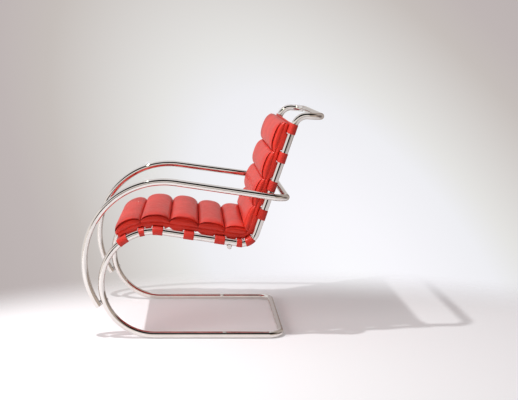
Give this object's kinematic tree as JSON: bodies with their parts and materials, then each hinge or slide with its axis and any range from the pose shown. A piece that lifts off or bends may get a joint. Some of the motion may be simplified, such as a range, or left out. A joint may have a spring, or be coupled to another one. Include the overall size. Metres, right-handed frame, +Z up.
{
  "type": "cantilever lounge chair",
  "caption": "Cantilever lounge armchair: bent chromed tube frame with looping tube arms, and a channelled leather cushion carried on leather straps.",
  "frame": {"origin": "on the floor, at the middle of the chair's outline in plan", "axes": "+X towards the back of the chair, +Y towards the sitter's right side, +Z up"},
  "size_m": [0.896, 0.6526, 0.8436],
  "materials": {
    "chrome_tube": "polished chrome plate on steel tube",
    "steel_fittings": "plain steel screws and joint sleeves",
    "black_plastic": "black moulded plugs and washers",
    "strap_leather": "red belting leather, matte",
    "cushion_leather": "red upholstery leather over foam, soft sheen"
  },
  "bodies": {
    "root": {"arm_bar_sleeve": "steel_fittings", "arm_front_screws": "steel_fittings", "arm_front_washers": "black_plastic", "arm_plug_left": "black_plastic", "arm_plug_right": "black_plastic", "arm_rear_screws": "steel_fittings", "arm_rear_washers": "black_plastic", "arm_tube_left": "chrome_tube", "arm_tube_right": "chrome_tube", "back_roll_1": "cushion_leather", "back_roll_2": "cushion_leather", "back_roll_3": "cushion_leather", "back_roll_4": "cushion_leather", "back_strap_1": "strap_leather", "back_strap_2": "strap_leather", "back_strap_3": "strap_leather", "back_strap_4": "strap_leather", "cushion_backing": "cushion_leather", "floor_bar_sleeve": "steel_fittings", "frame_tube_left": "chrome_tube", "frame_tube_right": "chrome_tube", "narrow_strap_1": "strap_leather", "narrow_strap_2": "strap_leather", "seat_roll_1": "cushion_leather", "seat_roll_2": "cushion_leather", "seat_roll_3": "cushion_leather", "seat_roll_4": "cushion_leather", "seat_roll_5": "cushion_leather", "seat_strap_1": "strap_leather", "seat_strap_2": "strap_leather", "seat_strap_3": "strap_leather", "seat_strap_4": "strap_leather", "seat_strap_5": "strap_leather", "seat_stretcher": "chrome_tube", "top_bar_sleeve": "steel_fittings"}
  },
  "joints": []
}
